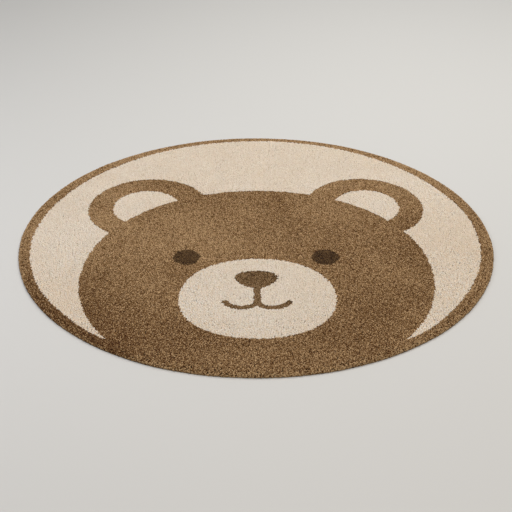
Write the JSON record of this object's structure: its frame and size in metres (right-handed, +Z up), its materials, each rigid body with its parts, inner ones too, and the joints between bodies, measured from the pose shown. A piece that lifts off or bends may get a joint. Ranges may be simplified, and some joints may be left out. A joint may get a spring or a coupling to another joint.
{
  "type": "kids rug",
  "caption": "Round, flat kids rug with a short dense cut pile and a rolled pile edge, patterned with a plain bear face; lies flat on a floor.",
  "frame": {"origin": "centre of the underside, on the floor that the rug lies on", "axes": "+Z up, out of the pile; +Y towards the top of the pattern; +X to the right for someone who sees the pattern upright"},
  "size_m": [1.0006, 0.9984, 0.01],
  "materials": {
    "pile_brown": "matt cut pile yarn",
    "pile_cream": "matt cut pile yarn",
    "pile_umber": "matt cut pile yarn",
    "pile_dark": "matt cut pile yarn",
    "backing_cloth": "plain woven cloth"
  },
  "bodies": {
    "root": {"rug": "pile_brown"}
  },
  "joints": []
}
